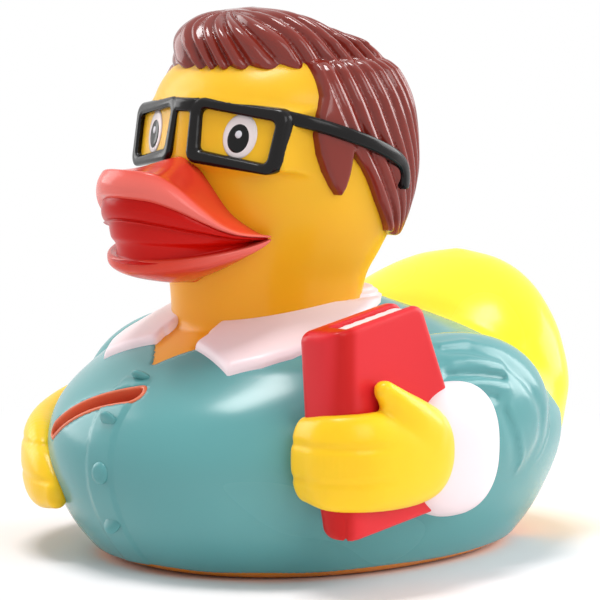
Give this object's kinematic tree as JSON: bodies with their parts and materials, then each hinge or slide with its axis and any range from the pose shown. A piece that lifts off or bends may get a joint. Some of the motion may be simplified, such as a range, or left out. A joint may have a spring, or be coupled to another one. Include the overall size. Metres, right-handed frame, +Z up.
{
  "type": "rubber bath duck",
  "caption": "Squeaky vinyl bath duck moulded with swept hair, glasses, collared shirt and a book under its wing, standing on a flat base.",
  "frame": {"origin": "centre of the flat base, on the surface the duck stands on", "axes": "+Z up, the bill and breast face -Y, the book is on the duck's left side at +X"},
  "size_m": [0.0838, 0.0877, 0.0842],
  "materials": {
    "painted_vinyl": "glossy sprayed paint on yellow soft vinyl: teal shirt, off-white collar and cuffs, brown hair, black glasses, coral bill, red book",
    "squeaker_plastic": "natural moulded polyethylene"
  },
  "bodies": {
    "root": {"duck_skin": "painted_vinyl", "squeaker": "squeaker_plastic"}
  },
  "joints": []
}
